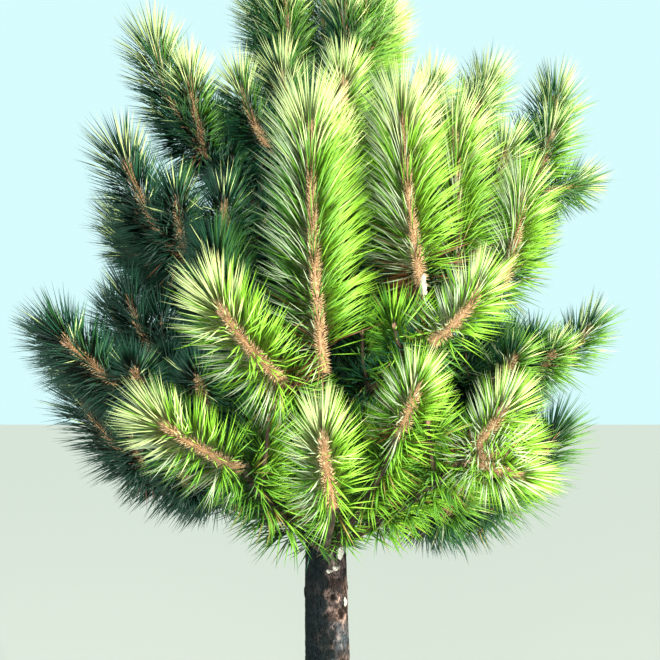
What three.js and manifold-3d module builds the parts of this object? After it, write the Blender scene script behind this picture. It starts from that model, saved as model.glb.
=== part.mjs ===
// A young pine on one trunk, rooted in level ground: trunk, a bough for each branch of its yearly
// whorls, and a mass of twigs and needle plumes on each bough.
// Millimetres, +Z up, ground at z = 0. The viewer stands on the -Y side, with +X to the right.

import * as THREE from 'three'
import { mergeVertices } from 'three/addons/utils/BufferGeometryUtils.js'
import Module from 'manifold-3d'

const wasm = await Module()
wasm.setup()

// Trunk: its height to the foot of the leading shoot, its radii, the root flare and the lean.
const TRUNK_HEIGHT = 1800
const TRUNK_TIP_RADIUS = 12.5
const TRUNK_SWELL = 40
const TRUNK_TAPER = 0.6
const FLARE = 18
const FLARE_HEIGHT = 45
const FLARE_LOBES = 5
const LOBE_DEPTH = 0.1
const LEAN = 24
const LEAN_HEIGHT = 800
const TRUNK_SIDES = 14
const TRUNK_RINGS = [0, 14, 34, 65, 120, 280, 480, 700, 940, 1180, 1420, 1620, 1740, 1800]

// Clearance between two pieces that carry each other.
const SEAT = 0.3

// Boughs: how much thinner the tip is, and the collar where a bough leaves the trunk.
const BOUGH_TAPER = 0.62
const COLLAR = 4
const COLLAR_REACH = 12
const BOUGH_SIDES = 6
const BOUGH_STEP = 75

// Stems, twigs and shoots: radii where they start, how deep a side root is sunk, and how long
// one ring of faces is.
const TWIG_RADIUS = 7.5
const SHOOT_RADIUS = 8.5
const SHOOT_TIP_RADIUS = 5.5
const BUD_LENGTH = 16
const STEM_LENGTH = 16
const SUNK = 9
const SMOOTH = 0.6
const RUN_SIDES = 4
const RING_LENGTH = { stem: 40, twig: 88, shoot: 76 }

// Sprays of needles: their length, which grows with the shoot's, the share of it that old ones on
// twigs have, and the angle to the shoot at its foot, at its end and round the bud.
const NEEDLE_BASE_LENGTH = 66
const NEEDLE_GAIN = 0.13
const NEEDLE_LONGEST = 110
const NEEDLE_SPREAD_FOOT = 64
const NEEDLE_SPREAD_END = 34
const NEEDLE_SPREAD_BUD = 17
const OLD_NEEDLE_SHARE = 0.9
const OLD_NEEDLE_SPREAD = 66
const OLD_NEEDLE_START = 0.35
const SHORTER_SPRAYS = [1, 0.8, 0.62, 0.46, 0.32]
const EDGE_CHECKS = [0.45, 0.75]
const MARGIN_WITHIN_MASS = 1.5
const MARGIN_BETWEEN_MASSES = 4

const BARK_COLOUR = '#5d4b42'
const BOUGH_COLOUR = '#6e5a48'
const FOLIAGE_COLOURS = ['#4f7d2c', '#5c8b32', '#68973a', '#74a243', '#80ad4c']

// A shoot is [turn, rise, lift, length]: the turn round the trunk from the viewer's side in degrees,
// + to the right, the slopes at its start and end, and its length. A twig carries shoots at its end.
const FRONT_LOW = {
  turn: 0, height: 805, length: 260, rise: -10, lift: -2,
  twigs: [
    { turn: 3, rise: 18, lift: 30, length: 280, shoots: [[-14, 50, 74, 120]] },
    { turn: -31, rise: 26, lift: 43, length: 275, shoots: [[-56, 26, 34, 150]] },
    { turn: 40, rise: 24, lift: 36, length: 365, shoots: [[54, 45, 60, 90], [68, 5, 25, 72], [62, -24, -4, 80]] },
    { turn: 23, rise: 28, lift: 48, length: 340, shoots: [[30, 50, 68, 85]] },
  ],
}
const FRONT_SECOND = {
  turn: 0, height: 955, length: 240, rise: 5, lift: 15,
  twigs: [
    { turn: 0, rise: 12, lift: 24, length: 240, shoots: [[-90, 84, 90, 375]] },
    { turn: -13, rise: 8, lift: 19, length: 250, shoots: [[-42, 30, 50, 165]] },
    { turn: 30.5, rise: 17, lift: 25, length: 320, shoots: [[66, 30, 64, 105]] },
    { turn: -42, rise: 20, lift: 40, length: 170, shoots: [[-45, 45, 75, 200]] },
  ],
}
const FRONT_THIRD = {
  turn: 20, height: 1100, length: 220, rise: 15, lift: 20,
  twigs: [
    { turn: 22, rise: 8, lift: 15, length: 210, shoots: [[-76, 80, 88, 280]] },
    { turn: 60, rise: 8, lift: 14, length: 260, shoots: [[40, 65, 85, 160]] },
    { turn: -20, rise: 20, lift: 40, length: 160, shoots: [[-20, 60, 85, 200]] },
    { turn: 50, rise: 12, lift: 22, length: 200, shoots: [[10, 86, 98, 270]] },
  ],
}
const RIGHT_THIRD = {
  turn: 66, height: 1215, length: 255, rise: 18, lift: 28,
  twigs: [
    { turn: 76, rise: 28, lift: 40, length: 225, shoots: [[70, 66, 84, 185], [112, 0, 25, 135], [24, 40, 66, 120]] },
    { turn: 34, rise: 22, lift: 30, length: 130, shoots: [[24, 40, 62, 130]] },
    { turn: 104, rise: 14, lift: 26, length: 140, shoots: [[112, 20, 50, 140]] },
  ],
}
const FRONT_FOURTH = {
  turn: 10, height: 1360, length: 140, rise: 26, lift: 34,
  twigs: [
    { turn: -41, rise: 34, lift: 46, length: 100, shoots: [[-41, 48, 68, 155]] },
    { turn: 4, rise: 12, lift: 22, length: 140, shoots: [[0, 45, 72, 130]] },
    { turn: 60, rise: 22, lift: 36, length: 160, shoots: [[56, 40, 68, 120]] },
    { turn: -66, rise: 18, lift: 34, length: 150, shoots: [[-60, 45, 75, 140]] },
  ],
}

// Each whorl is one year's ring of boughs, low to high. A bough is its turn, or what differs on it from
// its whorl, with any twigs that it bears beyond the rule's. twigLift and top are the slopes that twigs
// and shoots reach; wood and plume are their lengths.
const WHORLS = [
  {
    name: 'low', sideTwigs: true, height: 800, length: 200, radius: 14, rise: 6, lift: 16,
    wood: 170, twigLift: 28, plume: 160, top: 60,
    boughs: [FRONT_LOW, { turn: 58, length: 195, rise: -8, lift: 2, wood: 150 }, 104, 152, -157, -108, -62],
  },
  {
    name: 'second', sideTwigs: true, height: 965, length: 250, radius: 13, rise: 6, lift: 12,
    wood: 175, twigLift: 20, plume: 165, top: 54,
    boughs: [
      FRONT_SECOND, { turn: 70, length: 245, plume: 125 }, 120, 172, -135,
      {
        turn: -92, rise: 2, lift: 8,
        more: [{ turn: -80, rise: 34, lift: 52, length: 140, shoots: [[-84, 50, 74, 150]] }],
      },
      {
        turn: -48, length: 235, rise: 3, lift: 9, top: 42,
        more: [{ turn: -60, rise: 32, lift: 50, length: 160, shoots: [[-66, 50, 76, 150]] }],
      },
    ],
  },
  {
    name: 'third', sideTwigs: true, height: 1165, length: 235, radius: 11, rise: 12, lift: 22,
    wood: 155, twigLift: 32, plume: 175, top: 66,
    boughs: [
      FRONT_THIRD, RIGHT_THIRD, { turn: 106, length: 262 }, 157, -150,
      { turn: -100, length: 220, rise: 6, lift: 14 }, { turn: -49, length: 205, rise: 11, lift: 20 },
    ],
  },
  {
    name: 'fourth', height: 1355, length: 185, radius: 9, rise: 24, lift: 32,
    wood: 115, twigLift: 42, plume: 200, top: 76,
    boughs: [FRONT_FOURTH, 96, 150, -140, -63],
  },
]

// The youngest whorl has no bough yet: its masses leave the trunk.
const TOP_WHORL = { height: 1580, wood: 100, rise: 48, twigLift: 58, plume: 230, top: 84 }
const TOP_TURNS = [35, 125, -145, -55]
const LEADER_LENGTH = 400
const LEADER_RADIUS = 11

// What the seeded rule may add to or take from a bough: height, length share, and degrees.
const WHORL_STAGGER = 14
const HEIGHT_VARIES = 10
const LENGTH_VARIES = 0.1
const RISE_VARIES = 4
const LIFT_VARIES = 5
const TWIG_TURN_VARIES = 6
const SHOOT_TURN_VARIES = 8

// How twigs and shoots fan out from a bough's own turn, in degrees, and how their slopes and
// lengths differ from those of the whorl.
const TWIG_FAN = 38
const SHOOT_FAN = 48
const LEADING_SHOOT_RISE = 8
const LEADING_SHOOT_LENGTH = 1.15
const SIDE_TWIG_LIFT = -4
const SIDE_SHOOT_TOP = -12
const SIDE_LENGTH = 0.8

const radians = THREE.MathUtils.degToRad

// The seeded rule: a number from -1 to 1 for the nth choice made on one bough of one whorl.
function chance(whorl, bough, choice) {
  const wave = Math.sin(12.9898 * whorl + 78.233 * bough + 37.719 * choice + 4.1) * 43758.5453
  return 2 * (wave - Math.floor(wave)) - 1
}

// A limb's line: an arc in the upright plane of its turn, whose slope goes evenly from rise to lift.
class LimbArc extends THREE.Curve {
  constructor(start, turn, rise, lift, length) {
    super()
    this.start = start
    this.away = new THREE.Vector3(Math.sin(radians(turn)), -Math.cos(radians(turn)), 0)
    this.side = new THREE.Vector3(Math.cos(radians(turn)), Math.sin(radians(turn)), 0)
    this.first = radians(rise)
    this.last = radians(lift === rise ? lift + 0.01 : lift)
    this.length = length
  }

  slope(t) {
    return this.first + (this.last - this.first) * t
  }

  getPoint(t) {
    const radius = this.length / (this.last - this.first)
    const out = radius * (Math.sin(this.slope(t)) - Math.sin(this.first))
    const up = radius * (Math.cos(this.first) - Math.cos(this.slope(t)))
    const point = this.start.clone().addScaledVector(this.away, out)
    point.z += up
    return point
  }

  getTangent(t) {
    const tangent = this.away.clone().multiplyScalar(Math.cos(this.slope(t)))
    tangent.z = Math.sin(this.slope(t))
    return tangent
  }
}

function trunkCentre(height) {
  const shift = -LEAN * Math.sin(Math.PI / 2 * Math.min(1, height / LEAN_HEIGHT))
  return new THREE.Vector3(shift, 0, height)
}

function trunkRadius(height) {
  const left = Math.max(0, 1 - height / TRUNK_HEIGHT)
  return TRUNK_TIP_RADIUS + TRUNK_SWELL * left ** TRUNK_TAPER + FLARE * Math.exp(-height / FLARE_HEIGHT)
}

// A turned shape as points and faces, with its seam and its poles closed. Its axis is +Y.
function turned(profile, sides) {
  const outline = profile.map(([radius, height]) => new THREE.Vector2(radius, height))
  const lathe = new THREE.LatheGeometry(outline, sides)
  lathe.deleteAttribute('normal')
  lathe.deleteAttribute('uv')
  const merged = mergeVertices(lathe)
  const position = merged.getAttribute('position')
  const points = []
  for (let i = 0; i < position.count; i++) {
    points.push(new THREE.Vector3().fromBufferAttribute(position, i))
  }
  const faces = []
  const corners = merged.getIndex().array
  for (let i = 0; i < corners.length; i += 3) {
    const [a, b, c] = [corners[i], corners[i + 1], corners[i + 2]]
    if (a !== b && b !== c && c !== a) {
      faces.push([a, b, c])
    }
  }
  return { points, faces }
}

// Points and faces as a solid that can be cut and joined.
function solidOf({ points, faces }) {
  const mesh = new wasm.Mesh({
    numProp: 3,
    vertProperties: new Float32Array(points.flatMap((point) => point.toArray())),
    triVerts: new Uint32Array(faces.flat()),
  })
  return new wasm.Manifold(mesh)
}

// Where a run of limbs is at a distance along it. Where one limb carries on from another, the
// directions of the two are averaged.
function placeOn(run, along) {
  let start = 0
  for (const [k, limb] of run.entries()) {
    const end = start + limb.arc.length
    const next = run[k + 1]
    if (next && Math.abs(along - end) < 1e-6) {
      const tangent = limb.arc.getTangent(1).add(next.arc.getTangent(0)).normalize()
      const side = limb.arc.side.clone().add(next.arc.side)
      side.addScaledVector(tangent, -side.dot(tangent)).normalize()
      return { limb: next, t: 0, point: next.arc.getPoint(0), tangent, side }
    }
    if (!next || along < end) {
      const t = (along - start) / limb.arc.length
      return { limb, t, point: limb.arc.getPoint(t), tangent: limb.arc.getTangent(t), side: limb.arc.side }
    }
    start = end
  }
}

// One round body along a run of limbs. The profile is a list of [radius, distance along the run].
function runShape(run, profile, sides) {
  const straight = turned(profile, sides)
  const points = straight.points.map((flat) => {
    const { point, tangent, side } = placeOn(run, flat.y)
    const under = new THREE.Vector3().crossVectors(side, tangent)
    return point.addScaledVector(side, flat.x).addScaledVector(under, flat.z)
  })
  return { points, faces: straight.faces, along: straight.points.map((flat) => flat.y) }
}

function trunkSolid(extra) {
  const profile = TRUNK_RINGS.map((height) => [trunkRadius(height) + extra, height])
  profile[profile.length - 1][1] += extra
  const shape = turned([[0, 0], ...profile, [0, TRUNK_HEIGHT + extra]], TRUNK_SIDES)
  shape.points = shape.points.map((point) => {
    const lobe = Math.cos(FLARE_LOBES * Math.atan2(point.z, point.x)) * Math.exp(-point.y / FLARE_HEIGHT)
    const spread = 1 + LOBE_DEPTH * lobe
    const centre = trunkCentre(point.y)
    return new THREE.Vector3(centre.x + point.z * spread, point.x * spread, point.y)
  })
  return solidOf(shape)
}

// One limb of the plant: its arc, what it belongs to, its radius where it starts, the length of the
// shoot that its needles grew with, and the points along it that claim space.
const CLAIM_STEP = 12
const claims = []

function addLimb(arc, mass, kind, radius, grown = arc.length) {
  const limb = { arc, mass, kind, radius, grown, claims: [] }
  const steps = Math.max(2, Math.ceil(arc.length / CLAIM_STEP))
  for (let i = 0; i <= steps; i++) {
    limb.claims.push({ limb, point: arc.getPoint(i / steps) })
  }
  claims.push(...limb.claims)
  return limb
}

// The points of other limbs that are near enough to meet this limb's sprays, found once a limb.
function rivalsOf(limb) {
  const middle = limb.arc.getPoint(0.5)
  const reach = limb.arc.length / 2 + 2 * NEEDLE_LONGEST + MARGIN_BETWEEN_MASSES
  limb.rivals ??= claims.filter((claim) => claim.limb !== limb && claim.point.distanceTo(middle) < reach)
  return limb.rivals
}

// Is the point nearer to its own limb than to any other limb or to the trunk's surface?
function hasRoom(point, limb) {
  const own = Math.min(...limb.claims.map((claim) => claim.point.distanceTo(point)))
  const centre = trunkCentre(point.z)
  const toTrunk = Math.hypot(point.x - centre.x, point.y - centre.y) - trunkRadius(Math.max(0, point.z))
  if (point.z < TRUNK_HEIGHT && toTrunk < own + MARGIN_WITHIN_MASS) {
    return false
  }
  return rivalsOf(limb).every((claim) => {
    const margin = claim.limb.mass === limb.mass ? MARGIN_WITHIN_MASS : MARGIN_BETWEEN_MASSES
    return claim.point.distanceTo(point) >= own + margin
  })
}

// The length of a spray on a limb and its angle to the limb at t, or nothing on bare wood.
function sprayAt(limb, t) {
  const length = Math.min(NEEDLE_LONGEST, NEEDLE_BASE_LENGTH + NEEDLE_GAIN * limb.grown)
  if (limb.kind === 'shoot') {
    const onBud = t > 1 - BUD_LENGTH / limb.arc.length
    const spread = NEEDLE_SPREAD_FOOT + (NEEDLE_SPREAD_END - NEEDLE_SPREAD_FOOT) * t
    return { length, spread: onBud ? NEEDLE_SPREAD_BUD : spread }
  }
  const old = limb.kind === 'twig' && t > OLD_NEEDLE_START
  return old ? { length: length * OLD_NEEDLE_SHARE, spread: OLD_NEEDLE_SPREAD } : undefined
}

// The tip of the spray on one face, leaning forward from the middle of the face. It is made shorter
// until it keeps to its limb's space, and there is none where even the shortest leaves it.
function sprayTip(run, corners, along) {
  const { limb, t, point, tangent } = placeOn(run, along)
  const spray = sprayAt(limb, t)
  if (!spray) {
    return undefined
  }
  const foot = new THREE.Vector3().add(corners[0]).add(corners[1]).add(corners[2]).divideScalar(3)
  const outward = foot.clone().sub(point)
  outward.addScaledVector(tangent, -outward.dot(tangent)).normalize()
  const spread = radians(spray.spread)
  const lean = tangent.clone().multiplyScalar(Math.cos(spread)).addScaledVector(outward, Math.sin(spread))
  const tips = SHORTER_SPRAYS.map((share) => foot.clone().addScaledVector(lean, spray.length * share))
  return tips.find((tip) => {
    const onEdges = corners.flatMap((corner) => EDGE_CHECKS.map((share) => corner.clone().lerp(tip, share)))
    return [tip, ...onEdges].every((place) => hasRoom(place, limb))
  })
}

// Each face along a run is drawn out into one spray of needles. The face at its root stays flat.
function addSprays(shape, run) {
  shape.faces = shape.faces.flatMap((face) => {
    const along = (shape.along[face[0]] + shape.along[face[1]] + shape.along[face[2]]) / 3
    const tip = along > 0 ? sprayTip(run, face.map((i) => shape.points[i]), along) : undefined
    if (!tip) {
      return [face]
    }
    const last = shape.points.push(tip) - 1
    return [[face[0], face[1], last], [face[1], face[2], last], [face[2], face[0], last]]
  })
}

// The twigs of one bough by the seeded rule: a leading twig that ends in three shoots and, on the
// older whorls, a side twig to the left and to the right with one shoot each.
function ruleTwigs(whorl, w, b, turn, lift) {
  const shootAt = (fan, choice, rise, top, share) => (
    [turn + fan + SHOOT_TURN_VARIES * chance(w, b, choice), rise, top, whorl.plume * share]
  )
  const { twigLift, top } = whorl
  const sideTop = top + SIDE_SHOOT_TOP
  const leading = {
    turn: turn + TWIG_TURN_VARIES * chance(w, b, 5), rise: lift, lift: twigLift, length: whorl.wood,
    shoots: [
      shootAt(0, 6, twigLift + LEADING_SHOOT_RISE, top, LEADING_SHOOT_LENGTH),
      shootAt(-SHOOT_FAN, 7, twigLift, sideTop, SIDE_LENGTH),
      shootAt(SHOOT_FAN, 8, twigLift, sideTop, SIDE_LENGTH),
    ],
  }
  const sideTwig = (sign, choice) => ({
    turn: turn + sign * TWIG_FAN + TWIG_TURN_VARIES * chance(w, b, choice),
    rise: lift, lift: twigLift + SIDE_TWIG_LIFT, length: whorl.wood * SIDE_LENGTH,
    shoots: [shootAt(sign * SHOOT_FAN, choice + 1, twigLift, sideTop, SIDE_LENGTH)],
  })
  return whorl.sideTwigs ? [leading, sideTwig(-1, 9), sideTwig(1, 11)] : [leading]
}

// The plan of the plant: every bough and every mass with its limbs, before any solid is made.
const boughs = []
const masses = []

// A mass is a list of runs. Its first twig carries on from the stem, and each twig's first shoot
// carries on from the twig. The other twigs and shoots are runs of their own, rooted in these.
function planMass(name, colour, stemArc, stemRadius, twigs) {
  const mass = { name, colour, runs: [] }
  const stem = addLimb(stemArc, mass, 'stem', stemRadius)
  for (const [k, twig] of twigs.entries()) {
    const twigArc = new LimbArc(stemArc.getPoint(1), twig.turn, twig.rise, twig.lift, twig.length)
    const [, , , grown] = twig.shoots[0]
    const run = [...(k === 0 ? [stem] : []), addLimb(twigArc, mass, 'twig', TWIG_RADIUS, grown)]
    mass.runs.push(run)
    for (const [n, [turn, rise, lift, length]] of twig.shoots.entries()) {
      const root = twigArc.getPoint(n === 0 ? 1 : 1 - SUNK / twig.length)
      const shoot = addLimb(new LimbArc(root, turn, rise, lift, length), mass, 'shoot', SHOOT_RADIUS)
      if (n === 0) {
        run.push(shoot)
      } else {
        mass.runs.push([shoot])
      }
    }
  }
  masses.push(mass)
}

// Boughs of one whorl leave the trunk by turns a little above and below its height.
function whorlHeight(whorl, w, b) {
  return whorl.height + (b % 2 ? WHORL_STAGGER : -WHORL_STAGGER) + HEIGHT_VARIES * chance(w, b, 1)
}

function planWhorl(whorl, w) {
  whorl.boughs.forEach((entry, b) => {
    const told = typeof entry === 'object' ? entry : {}
    const turn = told.turn ?? entry
    const height = told.height ?? whorlHeight(whorl, w, b)
    const length = told.length ?? whorl.length * (1 + LENGTH_VARIES * chance(w, b, 2))
    const rise = told.rise ?? whorl.rise + RISE_VARIES * chance(w, b, 3)
    const lift = told.lift ?? whorl.lift + LIFT_VARIES * chance(w, b, 4)
    const arc = new LimbArc(trunkCentre(height), turn, rise, lift, length)
    const bough = { name: `bough_${whorl.name}_${b + 1}` }
    bough.limb = addLimb(arc, bough, 'bough', whorl.radius)
    boughs.push(bough)
    const tip = arc.getPoint(1).addScaledVector(arc.getTangent(1), SEAT)
    const stemArc = new LimbArc(tip, turn, lift, lift, STEM_LENGTH)
    const twigs = told.twigs ?? ruleTwigs({ ...whorl, ...told }, w, b, turn, lift)
    const all = [...twigs, ...(told.more ?? [])]
    planMass(`foliage_${whorl.name}_${b + 1}`, FOLIAGE_COLOURS[w], stemArc, whorl.radius * BOUGH_TAPER, all)
  })
}

function planTop() {
  const w = WHORLS.length
  TOP_TURNS.forEach((turn, b) => {
    const height = whorlHeight(TOP_WHORL, w, b)
    const stemLength = trunkRadius(height) + STEM_LENGTH
    const stemArc = new LimbArc(trunkCentre(height), turn, TOP_WHORL.rise, TOP_WHORL.rise, stemLength)
    const twigs = ruleTwigs(TOP_WHORL, w, b, turn, TOP_WHORL.rise)
    planMass(`foliage_fifth_${b + 1}`, FOLIAGE_COLOURS[w], stemArc, TWIG_RADIUS, twigs)
  })
  const foot = trunkCentre(TRUNK_HEIGHT)
  foot.z += SEAT
  const mass = { name: 'foliage_leader', colour: FOLIAGE_COLOURS[w], runs: [] }
  mass.runs.push([addLimb(new LimbArc(foot, 0, 90, 90, LEADER_LENGTH), mass, 'shoot', LEADER_RADIUS)])
  masses.push(mass)
}

function boughSolid(bough, trunk) {
  const { arc, radius } = bough.limb
  const rings = Math.max(2, Math.round(arc.length / BOUGH_STEP))
  const profile = [[0, 0]]
  for (let i = 0; i <= rings; i++) {
    const along = arc.length * i / rings
    const fromBark = Math.max(0, along - trunkRadius(arc.start.z))
    const taper = radius * (1 + (BOUGH_TAPER - 1) * i / rings)
    profile.push([taper + COLLAR * Math.exp(-fromBark / COLLAR_REACH), along])
  }
  profile.push([0, arc.length])
  return solidOf(runShape([bough.limb], profile, BOUGH_SIDES)).subtract(trunk)
}

// One run of a mass with its sprays. Each limb tapers to where the next starts, and the last to its bud.
function runSolid(run) {
  const profile = [[0, 0]]
  let start = 0
  for (const [k, { arc, kind, radius }] of run.entries()) {
    const next = run[k + 1]
    const length = next ? arc.length : arc.length - BUD_LENGTH
    const rings = Math.max(kind === 'stem' ? 1 : 2, Math.round(length / RING_LENGTH[kind]))
    for (let i = 0; i < rings; i++) {
      const taper = ((next?.radius ?? SHOOT_TIP_RADIUS) - radius) * i / rings
      profile.push([radius + taper, start + length * i / rings])
    }
    start += arc.length
  }
  profile.push([SHOOT_TIP_RADIUS, start - BUD_LENGTH], [0, start])
  const shape = runShape(run, profile, RUN_SIDES)
  addSprays(shape, run)
  return solidOf(shape)
}

// One mass: its runs fused, with no hollow sealed in and no loose scrap.
function massSolid(mass, trunk) {
  const fused = mass.runs.map(runSolid).reduce((whole, part) => whole.add(part)).simplify(SMOOTH)
  const pieces = fused.subtract(trunk).decompose()
  return pieces.reduce((best, piece) => (piece.volume() > best.volume() ? piece : best))
}

// A solid as a named mesh with a finish of its own.
function meshOf(name, solid, colour, roughness) {
  const { vertProperties, triVerts } = solid.getMesh()
  const geometry = new THREE.BufferGeometry()
  geometry.setAttribute('position', new THREE.BufferAttribute(new Float32Array(vertProperties), 3))
  geometry.setIndex(new THREE.BufferAttribute(new Uint32Array(triVerts), 1))
  const finish = new THREE.MeshStandardMaterial({ color: colour, roughness, metalness: 0 })
  const mesh = new THREE.Mesh(geometry, finish)
  mesh.name = name
  return mesh
}

WHORLS.forEach(planWhorl)
planTop()

const grownTrunk = trunkSolid(SEAT)
const group = new THREE.Group()
group.add(meshOf('trunk', trunkSolid(0), BARK_COLOUR, 0.95))
for (const bough of boughs) {
  group.add(meshOf(bough.name, boughSolid(bough, grownTrunk), BOUGH_COLOUR, 0.9))
}
for (const mass of masses) {
  group.add(meshOf(mass.name, massSolid(mass, grownTrunk), mass.colour, 0.8))
}

export default group
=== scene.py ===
import math

import bpy
import numpy as np
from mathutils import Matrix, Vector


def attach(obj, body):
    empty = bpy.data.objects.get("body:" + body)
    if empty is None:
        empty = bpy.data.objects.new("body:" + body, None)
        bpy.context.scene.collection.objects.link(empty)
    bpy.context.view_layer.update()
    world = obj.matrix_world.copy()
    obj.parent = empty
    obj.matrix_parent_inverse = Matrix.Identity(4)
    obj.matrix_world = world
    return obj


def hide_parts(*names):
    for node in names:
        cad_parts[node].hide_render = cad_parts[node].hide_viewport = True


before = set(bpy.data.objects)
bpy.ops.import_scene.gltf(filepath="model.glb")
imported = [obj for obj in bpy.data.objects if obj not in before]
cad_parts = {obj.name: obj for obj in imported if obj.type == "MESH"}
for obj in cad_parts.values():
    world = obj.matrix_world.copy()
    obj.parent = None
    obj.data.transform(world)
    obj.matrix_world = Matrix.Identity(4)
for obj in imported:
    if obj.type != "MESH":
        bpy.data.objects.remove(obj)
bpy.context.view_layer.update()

# Trunk. The stem of a pine about ten years old, from level ground to the foot of its leading shoot.
# It is live wood under bark that has split into short upright plates, with scars where the lowest
# boughs were shed. It grew here, so nothing fixes it: its flat cut stands on the ground.
TRUNK_HEIGHT = 1.8
TRUNK_TIP_RADIUS = 0.0125
TRUNK_SWELL = 0.040
TRUNK_TAPER = 0.6
FLARE = 0.018
FLARE_HEIGHT = 0.045
FLARE_LOBES = 5
LOBE_DEPTH = 0.1
LEAN = 0.024
LEAN_HEIGHT = 0.8
TRUNK_COLUMNS = 180
BARE_HEIGHT = 0.9
BARE_ROWS = 440
HIDDEN_ROWS = 88
PLATE_COLUMNS = 22
PLATE_HEIGHT = 0.017
FLAKE_COLUMNS = 52
FLAKE_HEIGHT = 0.010
CRACK_DEPTH = 0.0030
PLATE_STEPS = 0.0012
FLAKE_DEPTH = 0.0007
SCAR_WIDTH = 0.0075
SCAR_RIM = 0.0035
SCAR_HOLLOW = 0.0045
# The turn of the painted shade on the trunk's side from the viewer's side in degrees, and how dark it gets.
SIDE_SHADE_TURN = -75
SIDE_SHADE_DEPTH = 0.96
# Each scar is its turn from the viewer's side in degrees, its height and its share of the full size.
SCARS = [(18, 0.631, 1.0), (112, 0.640, 0.9), (-160, 0.622, 1.1), (-72, 0.634, 0.8),
         (-30, 0.452, 0.9), (62, 0.446, 1.1), (150, 0.458, 0.8), (-118, 0.450, 1.0)]


def trunk_centre(height):
    """Middle of the trunk: it drifts to the left by a quarter of a sine wave up to the lean height."""
    height = np.asarray(height, float)
    shift = -LEAN * np.sin(np.pi / 2 * np.minimum(1, height / LEAN_HEIGHT))
    return np.stack([shift, np.zeros_like(height), height], -1)


def trunk_radius(height):
    """Tip radius, plus a swell by a power of the height that is left, plus a flare that fades upwards."""
    height = np.asarray(height, float)
    left = np.maximum(0, 1 - height / TRUNK_HEIGHT)
    return TRUNK_TIP_RADIUS + TRUNK_SWELL * left ** TRUNK_TAPER + FLARE * np.exp(-height / FLARE_HEIGHT)


def round_trunk(height, angle, away):
    """Places at heights, at angles round the trunk and at distances away from its middle."""
    return trunk_centre(height) + np.stack([np.cos(angle) * away, np.sin(angle) * away, 0 * away], -1)


def waves(angle, height, *terms):
    """A sum of sines. A term is its size, how often it goes round, how fast it climbs, and its start."""
    return sum(size * np.sin(around * angle + climb * height + start) for size, around, climb, start in terms)


def scatter(*numbers):
    """A number from 0 to 1 for whole numbers: the fraction of a large multiple of a sine."""
    wave = np.sin(sum(n * step for n, step in zip(numbers, (12.9898, 78.233, 37.719))) + 4.1) * 43758.5453
    return wave - np.floor(wave)


def smooth_step(low, high, value):
    """0 below low, 1 above high, and 3x^2 - 2x^3 of the share between."""
    share = np.clip((value - low) / (high - low), 0, 1)
    return share * share * (3 - 2 * share)


def cell_pattern(across, along, columns, seed):
    """Cells round scattered seeds, one seed to each unit square, joined up after so many columns.

    Gives the gap between the nearest and the next nearest seed, which is 0 on a cell's edge, and a
    number from 0 to 1 that belongs to the nearest cell."""
    near = np.full(np.shape(across), 9.0)
    next_near = near.copy()
    number = np.zeros_like(near)
    for right in (-1, 0, 1):
        for up in (-1, 0, 1):
            column = np.floor(across) + right
            row = np.floor(along) + up
            wrapped = np.mod(column, columns)
            seed_across = column + 0.1 + 0.8 * scatter(wrapped, row, seed)
            seed_along = row + 0.1 + 0.8 * scatter(wrapped, row, seed + 1)
            distance = np.hypot(across - seed_across, along - seed_along)
            closer = distance < near
            next_near = np.where(closer, near, np.minimum(next_near, distance))
            number = np.where(closer, scatter(wrapped, row, seed + 2), number)
            near = np.where(closer, distance, near)
    return next_near - near, number


def end_faces(ring, pole, outwards):
    """Three-sided faces from a ring to the pole that closes it. The ring runs anticlockwise seen
    from where it points, so the far end keeps its order and the near end turns it round."""
    others = np.roll(ring, -1)
    poles = np.full_like(ring, pole)
    return np.stack([ring, others, poles] if outwards else [others, ring, poles], -1)


def tube_faces(rows, columns, first=0, clockwise=False):
    """Faces of a tube of rings: the four-sided ones round it, seam closed, and the three-sided ones to
    the two poles at its ends, whose points follow those of the rings. Rings that run clockwise seen
    from where the tube points have all their faces turned over."""
    row, column = np.meshgrid(np.arange(rows - 1), np.arange(columns), indexing="ij")
    next_column = (column + 1) % columns
    corners = [row * columns + column, row * columns + next_column,
               (row + 1) * columns + next_column, (row + 1) * columns + column]
    squares = first + np.stack(corners, -1).reshape(-1, 4)
    ring = first + np.arange(columns)
    last_ring = ring + (rows - 1) * columns
    pole = first + rows * columns
    caps = [end_faces(ring, pole, clockwise), end_faces(last_ring, pole + 1, not clockwise)]
    return [squares[:, ::-1] if clockwise else squares, np.concatenate(caps)]


def make_piece(name, points, faces, material, nodes=(), numbers=None):
    """One mesh object from arrays: points, the faces by their number of corners, and numbers for
    each point. It rides on the plant and stands for the named nodes."""
    mesh = bpy.data.meshes.new(name)
    flat = [np.asarray(part, np.int32) for part in faces]
    sizes = np.concatenate([np.full(len(part), part.shape[1]) for part in flat])
    mesh.vertices.add(len(points))
    mesh.vertices.foreach_set("co", np.asarray(points, np.float32).ravel())
    mesh.loops.add(int(sizes.sum()))
    mesh.loops.foreach_set("vertex_index", np.concatenate([part.ravel() for part in flat]))
    mesh.polygons.add(len(sizes))
    mesh.polygons.foreach_set("loop_start", np.concatenate([[0], np.cumsum(sizes)[:-1]]).astype(np.int32))
    mesh.polygons.foreach_set("use_smooth", np.ones(len(sizes), bool))
    for key, values in (numbers or {}).items():
        layer = mesh.attributes.new(key, "FLOAT", "POINT")
        layer.data.foreach_set("value", np.asarray(values, np.float32).ravel())
    mesh.update(calc_edges=True)
    mesh.validate()
    mesh.materials.append(material)
    piece = bpy.data.objects.new(name, mesh)
    bpy.context.scene.collection.objects.link(piece)
    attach(piece, "root")
    if nodes:
        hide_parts(*nodes)


def linear(hex_colour):
    """An sRGB hex colour as linear red, green, blue and alpha."""
    shares = np.array([int(hex_colour[i:i + 2], 16) / 255 for i in (1, 3, 5)])
    values = np.where(shares <= 0.04045, shares / 12.92, ((shares + 0.055) / 1.055) ** 2.4)
    return (*values.tolist(), 1.0)


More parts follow.
